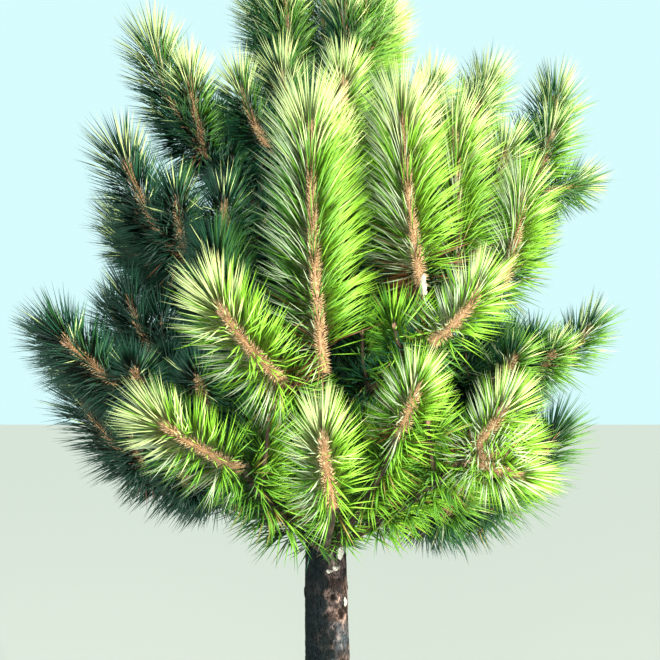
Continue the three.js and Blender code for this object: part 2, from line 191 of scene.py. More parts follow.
def feed(node, settings=None, links=None):
    """Gives a node its settings and input values, and the sockets that feed its inputs."""
    for key, value in (settings or {}).items():
        if isinstance(key, str) and hasattr(node, key):
            setattr(node, key, value)
        else:
            node.inputs[key].default_value = value
    for key, socket in (links or {}).items():
        node.id_data.links.new(socket, node.inputs[key])
    return node


def add(tree, kind, settings=None, links=None):
    """One new node in a tree, of a type given without ShaderNode in front, with what feeds it."""
    return feed(tree.nodes.new("ShaderNode" + kind), settings, links)


def new_material(name):
    """A material, its tree and its shader, which feeds the output."""
    material = bpy.data.materials.new(name)
    material.use_nodes = True
    tree = material.node_tree
    tree.nodes.clear()
    shader = add(tree, "BsdfPrincipled")
    add(tree, "OutputMaterial", {}, {"Surface": shader.outputs["BSDF"]})
    return material, tree, shader


def noise(tree, size, detail, roughness=0.5):
    """Noise from 0 to 1 in the plant's own space, with features of about a size in metres."""
    place = add(tree, "TexCoord").outputs["Object"]
    settings = {"Scale": 1 / size, "Detail": detail, "Roughness": roughness}
    return add(tree, "TexNoise", settings, {"Vector": place}).outputs["Fac"]


def point_number(tree, name):
    """A number that the mesh holds for each point."""
    return add(tree, "Attribute", {"attribute_name": name}).outputs["Fac"]


def ranged(tree, value, low, high, least=0.0, most=1.0):
    """A value carried from one range to another and held at its ends."""
    settings = {"From Min": low, "From Max": high, "To Min": least, "To Max": most}
    return add(tree, "MapRange", settings, {"Value": value}).outputs["Result"]


def mix(tree, share, first, second, way="MIX"):
    """Two colours mixed by a share. Each is a hex colour or a socket, the share a number or a socket."""
    settings, links = {"data_type": "RGBA", "blend_type": way}, {}
    for key, value in ((0, share), (6, first), (7, second)):
        if isinstance(value, str):
            settings[key] = linear(value)
        elif isinstance(value, float):
            settings[key] = value
        else:
            links[key] = value
    return add(tree, "Mix", settings, links).outputs[2]


def bump(tree, height, strength, distance):
    """A bumped surface direction from a height."""
    settings = {"Strength": strength, "Distance": distance}
    return add(tree, "Bump", settings, {"Height": height}).outputs["Normal"]


# Plated pine bark: dry cork, dull all over. Cracks are near black and plates dark brown, pinkish where
# a flake has come away and pale there as painted sunlit highlights, with painted patches of shadow of
# 2 to 3 cm, a grey weathered wash in patches of 4 to 5 cm that grows low down into painted shade, and
# grain of 4 mm. The left side is darkened by painted shade. It reads the depth, tone, painted side
# shade and grey of each point, which are worked out below.
bark, tree, shader = new_material("plated_pine_bark")
depth, tone, side_shade, grey = (point_number(tree, name) for name in ("plate", "tone", "side_shade", "grey"))
grain = noise(tree, 0.004, 6, 0.65)
# The pale pink end is flaked bark, made light enough to be painted sunlit highlights.
flaked_and_highlit = mix(tree, tone, "#241d1b", "#c8a8a0")
# Dark patches of 2 to 3 cm are painted shadow.
shadow_patched = mix(tree, ranged(tree, noise(tree, 0.024, 2), 0.46, 0.56, 0.0, 0.88), flaked_and_highlit, "#221a18")
patch_share = ranged(tree, noise(tree, 0.045, 3), 0.38, 0.60)
grey_share = add(tree, "Math", {"operation": "MULTIPLY"}, {0: patch_share, 1: grey}).outputs["Value"]
# The grey wash: weathering in patches, and low down painted shade.
weathered_and_shaded = mix(tree, grey_share, shadow_patched, "#4e5a64")
grained = mix(tree, 1.0, weathered_and_shaded, ranged(tree, grain, 0.35, 0.7, 0.55, 1.1), "MULTIPLY")
# Painted shade on the left side of the trunk.
side_shaded = mix(tree, side_shade, grained, "#10181a")
cracked = mix(tree, depth, "#080808", side_shaded)
feed(shader, {"Roughness": 0.9, "Specular IOR Level": 0.06},
     {"Base Color": cracked, "Normal": bump(tree, grain, 0.6, 0.0012)})

heights = np.concatenate([np.linspace(0, BARE_HEIGHT, BARE_ROWS, endpoint=False),
                          np.linspace(BARE_HEIGHT, TRUNK_HEIGHT, HIDDEN_ROWS)])
angles = np.linspace(0, 2 * np.pi, TRUNK_COLUMNS, endpoint=False)
height, angle = np.meshgrid(heights, angles, indexing="ij")
wander = waves(angle, height, (0.30, 3, 31, 0), (0.16, 7, -83, 2))
across = angle / (2 * np.pi) * PLATE_COLUMNS + wander + waves(angle, height, (0.28, 31, 270, 0))
along = height / PLATE_HEIGHT + waves(angle, height, (0.22, 9, 0, 4), (0.15, 14, 20, 0), (0.22, 37, -310, 0))
edge, plate_number = cell_pattern(across, along, PLATE_COLUMNS, 3)
plate = smooth_step(0.01, 0.17, edge)
flake_across = angle / (2 * np.pi) * FLAKE_COLUMNS + wander + waves(angle, height, (0.3, 43, 500, 0))
flake_along = height / FLAKE_HEIGHT + wander + waves(angle, height, (0.3, 29, -640, 0))
flake_edge, flake_number = cell_pattern(flake_across, flake_along, FLAKE_COLUMNS, 11)
flake = smooth_step(0.02, 0.3, flake_edge) * flake_number
# The bark is deepest at the foot and about half as deep at the top.
age = 0.45 + 0.55 * np.exp(-height / 0.9)
relief = age * (CRACK_DEPTH * (plate - 0.75) + PLATE_STEPS * (plate_number - 0.5) * plate
                + FLAKE_DEPTH * (flake - 0.4) * plate)
scar_hole = np.zeros_like(height)
# A scar is a ring of bark round a hollow, both shaped by how far a point is from its middle.
for turn, scar_height, share in SCARS:
    sideways = np.angle(np.exp(1j * (angle - math.radians(turn - 90)))) * trunk_radius(scar_height)
    away = np.hypot(sideways, (height - scar_height) * 0.8) / (SCAR_WIDTH * share)
    relief += SCAR_RIM * share * np.exp(-((away - 1.15) / 0.45) ** 2)
    relief -= SCAR_HOLLOW * share * np.exp(-(away / 0.7) ** 2)
    scar_hole = np.maximum(scar_hole, np.exp(-(away / 0.85) ** 4))
lobe = np.cos(FLARE_LOBES * (np.pi / 2 - angle)) * np.exp(-height / FLARE_HEIGHT)
spread = trunk_radius(height) * (1 + LOBE_DEPTH * lobe) + relief
points = np.concatenate([round_trunk(height, angle, spread).reshape(-1, 3), trunk_centre([0, TRUNK_HEIGHT])])
plate_top = plate * (1 - scar_hole) * (0.8 + 0.2 * flake)
# The side that looks away from the midday sun is darkened by painted shade with a ragged edge.
from_left = np.cos(angle - math.radians(SIDE_SHADE_TURN - 90)) + 0.12 * np.sin(height * 160) * np.sin(9 * angle)
side_shade_share = SIDE_SHADE_DEPTH * smooth_step(0.05, 0.40, from_left + 0.30 * (plate_number - 0.5)
                                      + 0.25 * smooth_step(0.62, 0.56, height))
# A little grey weathered wash all over, and much more lower down, where the meadow shades it, as painted
# shade.
grey_and_low_shade = 0.15 + 0.60 * smooth_step(0.64, 0.58, height)
# How pale a plate is: a little by its own number and its flakes', and most where a fresh flake came off. The
# palest are painted sunlit highlights as well.
tone_value = 0.40 * plate_number ** 2 + 0.20 * flake_number + 0.55 * flake_number ** 3 * plate_number
bark_numbers = {"plate": plate_top, "tone": np.clip(tone_value, 0, 1), "side_shade": side_shade_share, "grey": grey_and_low_shade}
make_piece("trunk_with_bark", points, tube_faces(len(heights), TRUNK_COLUMNS), bark, ["trunk"],
           {key: np.append(values, [0.5, 0.5]) for key, values in bark_numbers.items()})

# Resin. Clear resin that has bled from the bark on the trunk's right, under the lowest boughs, and
# dried to a thin white crust. Below it, a thin pale streak in the same skin is a painted highlight of
# sun on a bark plate. Both stick to the bark plates.
RESIN_THICKNESS = 0.0045
RESIN_SUNK = 0.0030
RESIN_BACK = 0.006
RESIN_ROWS = 14
RESIN_COLUMNS = 28
# Each dab is its turn from the viewer's side in degrees, its height, half width and half height.
DABS = [(48, 0.720, 0.0130, 0.0165), (30, 0.688, 0.0100, 0.0050), (10, 0.683, 0.0080, 0.0040),
        # The last is the thin pale streak: a painted highlight of sun on a bark plate.
        (60, 0.618, 0.0028, 0.0100)]

# Dried resin: brittle, white with a warm tinge where it is thick, and a little glossy in places. It also
# colours the streak that is a painted highlight.
resin_and_highlight, tree, shader = new_material("dried_resin_and_highlight")
lumps = noise(tree, 0.003, 4)
feed(shader, {"Roughness": 0.45},
     {"Base Color": mix(tree, lumps, "#9a8e78", "#d4d4ce"), "Normal": bump(tree, lumps, 0.5, 0.0008)})


def repeated(faces, copies, step):
    """The faces of one part for each of its copies, whose points follow each other by a step."""
    return (faces[None] + step * np.arange(copies)[:, None, None]).reshape(-1, faces.shape[-1])


def dab_on_bark(turn, dab_height, half_width, half_height):
    """A ragged round dab on the bark: it bulges by 1 minus the square of the share of its radius, and
    its rim goes down into the bark. A point in the trunk closes it behind."""
    share, angle = np.meshgrid(np.linspace(0.04, 1, RESIN_ROWS),
                               np.linspace(0, 2 * np.pi, RESIN_COLUMNS, endpoint=False), indexing="ij")
    ragged = 1 + 0.22 * np.sin(3 * angle + 1) + 0.14 * np.sin(7 * angle)
    sideways = half_width * share * ragged * np.cos(angle)
    height = dab_height + half_height * share * ragged * np.sin(angle)
    bulge = RESIN_THICKNESS * (1 - share ** 2) * (1 + 0.3 * np.sin(5 * angle + 6 * share))
    bulge -= RESIN_SUNK * share ** 6
    middle = math.radians(turn - 90)
    turned = middle + sideways / trunk_radius(dab_height)
    skin = round_trunk(height, turned, trunk_radius(height) + bulge)
    poles = trunk_centre(np.full(2, dab_height)) + np.outer(
        [trunk_radius(dab_height) + RESIN_THICKNESS, trunk_radius(dab_height) - RESIN_BACK],
        [math.cos(middle), math.sin(middle), 0])
    return np.concatenate([skin.reshape(-1, 3), poles])


# A dab is a tube from its middle outwards, down to the point in the trunk.
dab_points = RESIN_ROWS * RESIN_COLUMNS + 2
dab_faces = tube_faces(RESIN_ROWS, RESIN_COLUMNS, clockwise=True)
make_piece("resin_and_highlight_dabs", np.concatenate([dab_on_bark(*dab) for dab in DABS]),
           [repeated(part, len(DABS), dab_points) for part in dab_faces], resin_and_highlight)

# Boughs. Each year's whorl is a ring of them round the trunk, upswept and tapering, in wood like the
# trunk's under thin scaly bark, and they grow out of it through a small collar. Each ends where it
# enters the needles.
BOUGH_TAPER = 0.62
COLLAR = 0.004
COLLAR_REACH = 0.012
SEAT = 0.0003
BOUGH_COLUMNS = 20
BOUGH_ROW = 0.004
SCALE_COLUMNS = 7
SCALE_LENGTH = 0.011
BOUGH_RELIEF = 0.0010
STEM_LENGTH = 0.016
TWIG_RADIUS = 0.0070
SHOOT_RADIUS = 0.0054
SHOOT_TIP_RADIUS = 0.0040
SUNK = 0.009
OLD_NEEDLE_START = 0.20
STAGGER = 0.014
TWIG_FAN = 38
SHOOT_FAN = 48
SIDE_SHARE = 0.8
LEADING_SHARE = 1.15


def twig(turn, rise, lift, length, *shoots, **told):
    """A twig: its turn round the trunk from the viewer's side in degrees, + to the right, the slopes at
    its start and end, its length, and the shoots at its end, each as the same four values.

    What else may be told of it, or of a whole bough: old is from which share of it to which the old
    needles stand, bare leaves out its side shoots, and shade is how much less sun its needles get."""
    return {"turn": turn, "rise": rise, "lift": lift, "length": length, "shoots": shoots, **told}


FRONT_LOW = {
    "turn": 0, "height": 0.805, "length": 0.260, "rise": -10, "lift": -2, "bare": True,
    "twigs": [
        twig(3, 18, 30, 0.280, (-14, 50, 74, 0.120), bare=True, old=(1.0, 1.0)),
        twig(-31, 26, 43, 0.275, (-56, 26, 34, 0.150), old=(0.36, 1.0)),
        twig(40, 24, 36, 0.365, (54, 45, 60, 0.090), (68, 5, 25, 0.072), (62, -24, -4, 0.080),
             old=(0.38, 1.0)),
        twig(23, 28, 48, 0.340, (30, 50, 68, 0.085), old=(0.55, 1.0)),
    ],
}
FRONT_SECOND = {
    "turn": 0, "height": 0.955, "length": 0.240, "rise": 5, "lift": 15,
    "twigs": [
        twig(0, 12, 24, 0.240, (-90, 84, 90, 0.375), bare=True, old=(0.20, 0.30)),
        twig(-13, 8, 19, 0.250, (-42, 30, 50, 0.165), bare=True, shade=-0.20),
        twig(30.5, 17, 25, 0.320, (66, 30, 64, 0.105)),
        twig(-42, 20, 40, 0.170, (-45, 45, 75, 0.200), shade=0.40),
    ],
}
FRONT_THIRD = {
    "turn": 20, "height": 1.100, "length": 0.220, "rise": 15, "lift": 20,
    "twigs": [
        twig(22, 8, 15, 0.210, (-76, 80, 88, 0.280), bare=True, old=(0.20, 0.65)),
        twig(60, 8, 14, 0.260, (40, 65, 85, 0.160)),
        twig(-20, 20, 40, 0.160, (-20, 60, 85, 0.200)),
        twig(50, 12, 22, 0.200, (10, 86, 98, 0.270)),
    ],
}
RIGHT_THIRD = {
    "turn": 66, "height": 1.215, "length": 0.255, "rise": 18, "lift": 28,
    "twigs": [
        twig(76, 28, 40, 0.225, (70, 66, 84, 0.185), (112, 0, 25, 0.135), (24, 40, 66, 0.120)),
        twig(34, 22, 30, 0.130, (24, 40, 62, 0.130)),
        twig(104, 14, 26, 0.140, (112, 20, 50, 0.140)),
    ],
}
FRONT_FOURTH = {
    "turn": 10, "height": 1.360, "length": 0.140, "rise": 26, "lift": 34,
    "twigs": [
        twig(-41, 34, 46, 0.100, (-41, 48, 68, 0.155), shade=-0.05),
        twig(4, 12, 22, 0.140, (0, 45, 72, 0.130)),
        twig(60, 22, 36, 0.160, (56, 40, 68, 0.120)),
        twig(-66, 18, 34, 0.150, (-60, 45, 75, 0.140), shade=-0.10),
    ],
}
# A whorl's own values hold for each of its boughs that is given as a turn alone. "more" are twigs
# beyond those of the rule.
WHORLS = [
    {"name": "low", "side_twigs": True, "height": 0.800, "length": 0.200, "radius": 0.014, "rise": 6,
     "lift": 16, "wood": 0.170, "twig_lift": 28, "plume": 0.160, "top": 60,
     "boughs": [FRONT_LOW, {"turn": 58, "length": 0.195, "rise": -8, "lift": 2, "wood": 0.150},
                104, 152, -157, {"turn": -108, "shade": 0.15}, {"turn": -62, "shade": 0.30}]},
    {"name": "second", "side_twigs": True, "height": 0.965, "length": 0.250, "radius": 0.013, "rise": 6,
     "lift": 12, "wood": 0.175, "twig_lift": 20, "plume": 0.165, "top": 54,
     "boughs": [FRONT_SECOND, {"turn": 70, "length": 0.245, "plume": 0.125}, 120, 172, -135,
                {"turn": -92, "rise": 2, "lift": 8, "shade": 0.25,
                 "more": [twig(-80, 34, 52, 0.140, (-84, 50, 74, 0.150))]},
                {"turn": -48, "length": 0.235, "rise": 3, "lift": 9, "top": 42, "shade": 0.30,
                 "more": [twig(-60, 32, 50, 0.160, (-66, 50, 76, 0.150))]}]},
    {"name": "third", "side_twigs": True, "height": 1.165, "length": 0.235, "radius": 0.011, "rise": 12,
     "lift": 22, "wood": 0.155, "twig_lift": 32, "plume": 0.175, "top": 66,
     "boughs": [FRONT_THIRD, RIGHT_THIRD, {"turn": 106, "length": 0.262}, 157, -150,
                {"turn": -100, "length": 0.220, "rise": 6, "lift": 14, "shade": 0.22},
                {"turn": -49, "length": 0.205, "rise": 11, "lift": 20, "shade": 0.30}]},
    {"name": "fourth", "side_twigs": False, "height": 1.355, "length": 0.185, "radius": 0.009, "rise": 24,
     "lift": 32, "wood": 0.115, "twig_lift": 42, "plume": 0.200, "top": 76,
     "boughs": [FRONT_FOURTH, 96, 150, -140, {"turn": -63, "shade": -0.05}]},
]
TOP_WHORL = {"name": "fifth", "side_twigs": False, "height": 1.580, "wood": 0.100, "rise": 48,
             "twig_lift": 58, "plume": 0.230, "top": 84, "boughs": [35, 125, -145, -55]}
LEADER_LENGTH = 0.400
LEADER_RADIUS = 0.0105


class Limb:
    """A limb's line: an arc in the upright plane of its turn, whose slope goes evenly from rise to lift."""

    def __init__(self, start, turn, rise, lift, length, foot_radius, tip_radius, whorl=0, kind="bough"):
        self.start = np.asarray(start, float)
        self.turn = turn
        self.away = np.array([math.sin(math.radians(turn)), -math.cos(math.radians(turn)), 0])
        self.side = np.array([math.cos(math.radians(turn)), math.sin(math.radians(turn)), 0])
        self.first = math.radians(rise)
        self.last = math.radians(lift + 0.01 if lift == rise else lift)
        self.length = self.grown = length
        self.foot_radius = foot_radius
        self.tip_radius = tip_radius
        self.whorl = whorl
        self.kind = kind
        self.bare = False
        self.shade = 0.0
        self.bearing = (0.0, 1.0)

    def at(self, share):
        """Places and directions at shares of the length: out by the sine and up by the cosine of the
        slope, times the length over the turn of the slope. Gives point, direction and underside."""
        slope = self.first + (self.last - self.first) * np.asarray(share, float)[..., None]
        bend = self.length / (self.last - self.first)
        up = np.array([0, 0, 1.0])
        out = bend * (np.sin(slope) - math.sin(self.first))
        rise = bend * (math.cos(self.first) - np.cos(slope))
        point = self.start + self.away * out + up * rise
        direction = self.away * np.cos(slope) + up * np.sin(slope)
        return point, direction, np.cross(self.side, direction)

    def taper(self, share):
        """The radius at a share of the length, which goes evenly from the foot's to the tip's."""
        return self.foot_radius + (self.tip_radius - self.foot_radius) * share

    def slope(self, share):
        """The slope in degrees at a share of the length."""
        return math.degrees(self.first + (self.last - self.first) * share)


def chance(whorl, bough, choice):
    """The seeded rule: a number from -1 to 1 for the nth choice made on one bough of one whorl."""
    wave = math.sin(12.9898 * whorl + 78.233 * bough + 37.719 * choice + 4.1) * 43758.5453
    return 2 * (wave - math.floor(wave)) - 1


def rule_twigs(whorl, w, b, turn, lift):
    """The twigs of one bough: a leading twig that ends in three shoots and, on the older whorls, a
    side twig to the left and to the right with one shoot each."""
    twig_lift, top, plume = whorl["twig_lift"], whorl["top"], whorl["plume"]
    slopes = (twig_lift, top - 12, plume * SIDE_SHARE)
    sides = [(turn + sign * SHOOT_FAN + 8 * chance(w, b, choice), *slopes)
             for sign, choice in ((-1, 7), (1, 8))]
    leading = (turn + 8 * chance(w, b, 6), twig_lift + 8, top, plume * LEADING_SHARE)
    twigs = [twig(turn + 6 * chance(w, b, 5), lift, twig_lift, whorl["wood"], leading, *sides)]
    for sign, choice in ((-1, 9), (1, 11)) if whorl["side_twigs"] else ():
        twigs.append(twig(turn + sign * TWIG_FAN + 6 * chance(w, b, choice), lift, twig_lift - 4,
                          whorl["wood"] * SIDE_SHARE,
                          (turn + sign * SHOOT_FAN + 8 * chance(w, b, choice + 1), *slopes)))
    return twigs


def stagger(w, b):
    """How far a bough leaves the trunk above its whorl's middle, or below: by turns, and a seeded bit."""
    return (STAGGER if b % 2 else -STAGGER) + 0.010 * chance(w, b, 1)


def plan_mass(w, stem, plans, shade=0.0):
    """The limbs of one mass: its stem, the twigs at its end and their shoots, each with its shade."""
    limbs = [stem]
    foot = stem.at(1.0)[0]
    for plan in plans:
        wood = Limb(foot, plan["turn"], plan["rise"], plan["lift"], plan["length"], TWIG_RADIUS,
                    SHOOT_RADIUS, w, "twig")
        wood.grown = plan["shoots"][0][3]
        wood.bare = plan.get("bare", False)
        wood.shade = plan.get("shade", shade)
        wood.bearing = plan.get("old", (OLD_NEEDLE_START, 1.0))
        limbs.append(wood)
        for n, (turn, rise, lift, length) in enumerate(plan["shoots"]):
            root = wood.at(1.0 if n == 0 else 1 - SUNK / plan["length"])[0]
            limbs.append(Limb(root, turn, rise, lift, length, SHOOT_RADIUS, SHOOT_TIP_RADIUS, w, "shoot"))
            limbs[-1].shade = wood.shade
    return limbs


boughs = []
masses = {}
for w, whorl in enumerate(WHORLS):
    for b, entry in enumerate(whorl["boughs"]):
        told = entry if isinstance(entry, dict) else {}
        turn = told.get("turn", entry)
        rise = told.get("rise", whorl["rise"] + 4 * chance(w, b, 3))
        lift = told.get("lift", whorl["lift"] + 5 * chance(w, b, 4))
        length = told.get("length", whorl["length"] * (1 + 0.1 * chance(w, b, 2)))
        start = trunk_centre(told.get("height", whorl["height"] + stagger(w, b)))
        radius = whorl["radius"]
        bough = Limb(start, turn, rise, lift, length, radius, radius * BOUGH_TAPER, w)
        boughs.append(bough)
        tip, direction, _ = bough.at(1.0)
        stem = Limb(tip + direction * SEAT, turn, lift, lift, STEM_LENGTH, radius * BOUGH_TAPER,
                    TWIG_RADIUS, w, "stem")
        plans = told.get("twigs") or rule_twigs({**whorl, **told}, w, b, turn, lift)
        plans = plans + told.get("more", [])
        bough.shade = told.get("shade", 0.0)
        bough.bare = told.get("bare", False)
        masses[f"foliage_{whorl['name']}_{b + 1}"] = plan_mass(w, stem, plans, bough.shade)
top = len(WHORLS)
for b, turn in enumerate(TOP_WHORL["boughs"]):
    height = TOP_WHORL["height"] + stagger(top, b)
    rise = TOP_WHORL["rise"]
    stem = Limb(trunk_centre(height), turn, rise, rise, float(trunk_radius(height)) + STEM_LENGTH,
                TWIG_RADIUS, TWIG_RADIUS, top, "stem")
    masses[f"foliage_fifth_{b + 1}"] = plan_mass(top, stem, rule_twigs(TOP_WHORL, top, b, turn, rise))
leader_foot = trunk_centre(TRUNK_HEIGHT) + np.array([0, 0, SEAT])
masses["foliage_leader"] = [
    Limb(leader_foot, 0, 90, 90, LEADER_LENGTH, LEADER_RADIUS, SHOOT_TIP_RADIUS, top, "shoot")]


def limb_piece(name, limbs, columns, row_length, shape, material, nodes=()):
    """A piece of tubes round limbs' lines, closed at both ends. For a limb, shares of its length and
    angles, shape gives the radius there, and the scale and tone that the material reads."""
    points, faces, numbers = [], [], []
    first = 0
    around = np.linspace(0, 2 * np.pi, columns, endpoint=False)
    for limb in limbs:
        rows = max(3, round(limb.length / row_length) + 1)
        share, angle = np.meshgrid(np.linspace(0, 1, rows), around, indexing="ij")
        point, direction, under = limb.at(share)
        radius, values = shape(limb, share, angle)
        out = limb.side * np.cos(angle)[..., None] + under * np.sin(angle)[..., None]
        ends = limb.at(np.array([0.0, 1.0]))[0]
        points += [(point + out * radius[..., None]).reshape(-1, 3), ends]
        numbers += [np.stack([value.ravel() for value in values]), np.full((len(values), 2), 0.5)]
        faces.append(tube_faces(rows, columns, first, clockwise=True))
        first += rows * columns + 2
    scale, tone = np.concatenate(numbers, 1)
    make_piece(name, np.concatenate(points), [np.concatenate(part) for part in zip(*faces)],
               material, nodes, {"scale": scale, "tone": tone})


def bough_shape(limb, share, angle):
    """Taper along the bough, a collar that fades from the bark outwards, and scales a centimetre long."""
    from_bark = np.maximum(0, share * limb.length - float(trunk_radius(limb.start[2])))
    scale_across = angle / (2 * np.pi) * SCALE_COLUMNS + 0.3 * np.sin(angle * 2 + share * 30)
    scale_edge, number = cell_pattern(
        scale_across, share * limb.length / SCALE_LENGTH, SCALE_COLUMNS, limb.turn + 5)
    scale = smooth_step(0.03, 0.3, scale_edge)
    collar = COLLAR * np.exp(-from_bark / COLLAR_REACH)
    inner = np.where((share == 0) | (share == 1), 0, 1)
    radius = limb.taper(share) + collar + BOUGH_RELIEF * (scale - 0.7 + 0.6 * number) * inner
    return radius, (scale, number)


# Young pine bark: thin dull scales a centimetre long, grey-brown over an orange-brown layer that shows
# between them.
bough_bark, tree, shader = new_material("scaly_young_bark")
grain = noise(tree, 0.003, 5, 0.6)
plated = mix(tree, point_number(tree, "tone"), "#33291f", "#665640")
grained = mix(tree, 1.0, plated, ranged(tree, grain, 0.35, 0.7, 0.6, 1.15), "MULTIPLY")
scaled = mix(tree, point_number(tree, "scale"), "#20130c", grained)
feed(shader, {"Roughness": 0.82, "Specular IOR Level": 0.3},
     {"Base Color": scaled, "Normal": bump(tree, grain, 0.5, 0.0008)})

limb_piece("boughs_with_bark", boughs, BOUGH_COLUMNS, BOUGH_ROW, bough_shape, bough_bark,
           [node for node in sorted(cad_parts) if node.startswith("bough_")])

# Twigs. Two-year-old wood that carries each mass from the bough's tip, under the same scaly bark,
# and grown in one with it. Small side shoots stand on them by the same rule, carried one step finer.
TWIG_COLUMNS = 12
TWIG_ROW = 0.006
SIDE_SHOOT_FAN = 52
SIDE_SHOOT_RADIUS = 0.0038
SIDE_SHOOT_TIP_RADIUS = 0.0028
# For a twig and for a bough: the shares of it where side shoots stand, how much steeper than it they
# leave and end, how much steeper still every second pair is, and their length.
SIDE_SHOOT_PLANS = {
    "twig": {"places": (0.14, 0.30, 0.46, 0.62, 0.80), "rise": 8, "lift": 36, "more": 26, "length": 0.112},
    "bough": {"places": (0.36, 0.50, 0.62, 0.74, 0.86, 0.96), "rise": 34, "lift": 74, "more": 0,
              "length": 0.140},
}
STEEPEST_END = 92
CUSHION_RELIEF = 0.0008

stems = [limb for limbs in masses.values() for limb in limbs if limb.kind == "stem"]
twigs = [limb for limbs in masses.values() for limb in limbs if limb.kind == "twig"]
shoots = [limb for limbs in masses.values() for limb in limbs if limb.kind == "shoot"]


def cushions(angle, place_along, pitch, other_pitch):
    """The low cushions that shed needles leave, from 0 to 1: where two spirals cross that wind in
    opposite ways, three and two times round, each with its own pitch."""
    along = place_along * 2 * np.pi
    return 0.5 + 0.5 * np.sin(3 * angle + along / pitch) * np.sin(2 * angle - along / other_pitch)


def twig_shape(limb, share, angle):
    """Taper along the twig, with cushions, and a tone that changes along it by a sine."""
    place_along = share * limb.length
    cushion = cushions(angle, place_along, 0.030, 0.024)
    inner = np.where((share == 0) | (share == 1), 0, 1)
    tone = 0.5 + 0.5 * np.sin(place_along * 90 + limb.turn) + 0 * angle
    return limb.taper(share) + CUSHION_RELIEF * (cushion - 0.5) * inner, (cushion, tone)


limb_piece("twigs", stems + twigs, TWIG_COLUMNS, TWIG_ROW, twig_shape, bough_bark)

side_shoots = []
for n, wood in enumerate(twigs + boughs):
    plan = SIDE_SHOOT_PLANS[wood.kind]
    for k, share in enumerate(() if wood.bare else plan["places"]):
        sign = 1 if (n + k) % 2 else -1
        slope = wood.slope(share)
        steeper = plan["more"] * (k // 2 % 2)
        side_shoots.append(Limb(
            wood.at(share)[0], wood.turn + sign * (SIDE_SHOOT_FAN + 14 * chance(wood.whorl, n, 20 + k)),
            slope + plan["rise"] + steeper,
            min(STEEPEST_END, slope + plan["lift"] + steeper + 12 * chance(wood.whorl, n, 30 + k)),
            plan["length"] * (1 + 0.25 * chance(wood.whorl, n, 40 + k)),
            SIDE_SHOOT_RADIUS, SIDE_SHOOT_TIP_RADIUS, wood.whorl, "side"))
        side_shoots[-1].shade = wood.shade

# Stubs. Two dead side shoots have broken off where a front plume starts: one is white with dried
# resin, the other dark and bare. They are rooted in the twig's end.
# Each is its name, its foot beside that of the plume, its turn, length and radius, and its skin.
UPPER_PLUME_FOOT = masses["foliage_third_1"][2].start
LEFT_PLUME_FOOT = masses["foliage_low_1"][4].start
STUBS = [
    ("resinous_stub", UPPER_PLUME_FOOT + [0.001, -0.005, -0.014], 20, 0.032, 0.0058, resin_and_highlight),
    ("dark_stub", LEFT_PLUME_FOOT + [0.004, -0.004, -0.006], 70, 0.016, 0.0062, bough_bark),
]
STUB_ROW = 0.002
STUB_RISE = 78
STUB_LIFT = 84
STUB_TAPER = 0.7


def stub_shape(limb, share, angle):
    """Taper, times 1 plus a coarse and a fine ripple round it, less half the fourth power of the share,
    which narrows the broken end."""
    coarse = 0.30 * np.sin(3 * angle + share * 5) * np.sin(share * 9 + 1)
    fine = 0.16 * np.sin(7 * angle + share * 23)
    return limb.taper(share) * (1 + coarse - 0.5 * share ** 4 + fine), (share, 0 * share)


for name, foot, turn, length, radius, material in STUBS:
    stub = Limb(foot, turn, STUB_RISE, STUB_LIFT, length, radius, radius * STUB_TAPER)
    limb_piece(name, [stub], TWIG_COLUMNS, STUB_ROW, stub_shape, material)

# Shoots. The last year's growth: straw to orange-brown stems a centimetre thick, ridged by a cushion
# under each pair of needles. They carry on from the twigs. Side shoots wear the dark bough bark as
# painted shade.
SHOOT_COLUMNS = 10
SHOOT_ROW = 0.007
SIDE_SHOOT_COLUMNS = 5
SIDE_SHOOT_ROW = 0.014
SHOOT_RELIEF = 0.0006

# Young shoot bark: smooth waxy straw colour, orange-brown in the hollows between the cushions.
shoot_bark, tree, shader = new_material("young_shoot_bark")
straw = mix(tree, noise(tree, 0.006, 4), "#966c48", "#ccaa7c")
hollowed = mix(tree, point_number(tree, "scale"), "#7c5236", straw)
feed(shader, {"Roughness": 0.6}, {"Base Color": hollowed})


def shoot_shape(limb, share, angle):
    """Even taper up to the bud, with finer cushions."""
    cushion = cushions(angle, share * limb.length, 0.021, 0.027)
    return limb.taper(share) + SHOOT_RELIEF * (cushion - 0.5), (cushion, cushion)


limb_piece("shoots", shoots, SHOOT_COLUMNS, SHOOT_ROW, shoot_shape, shoot_bark)
# Side shoots wear the dark bough bark as painted shade.
limb_piece("side_shoots", side_shoots, SIDE_SHOOT_COLUMNS, SIDE_SHOOT_ROW, shoot_shape, bough_bark)

# Buds. At the end of each shoot stands a resinous winter bud with a few smaller ones round its foot,
# made of thin papery scales that overlap, pinkish tan with pale fringes. They sit on the shoot's end.
BUD_RADIUS = 0.0055
BUD_LENGTH = 0.020
BUD_SEAT = 0.016
SMALL_BUDS = 4
SMALL_BUD_LENGTH = 0.013
SMALL_BUD_SHARE = 0.62
SMALL_BUD_LEAN = math.radians(32)
SMALL_BUD_START = 40
SMALL_BUD_OUT = 0.002
SMALL_BUD_BACK = 0.003
BUD_COLUMNS = 5
BUD_ROWS = 5

# Bud scales: papery, pinkish tan with pale resin, drawn as blotches of about 2 mm.
bud_skin, tree, shader = new_material("resinous_bud_scales")
feed(shader, {"Roughness": 0.5}, {"Base Color": mix(tree, noise(tree, 0.002, 2), "#7a4c34", "#b89878")})


def unit(ways):
    """Each row's direction, one long."""
    return ways / np.maximum(1e-6, np.linalg.norm(ways, axis=1, keepdims=True))


def crosswise(ways, other):
    """Two directions across each way and square to each other: its cross product with another fixed
    direction, made one long, and the cross product of the way with that."""
    across = unit(np.cross(ways, other))
    return across, np.cross(ways, across)


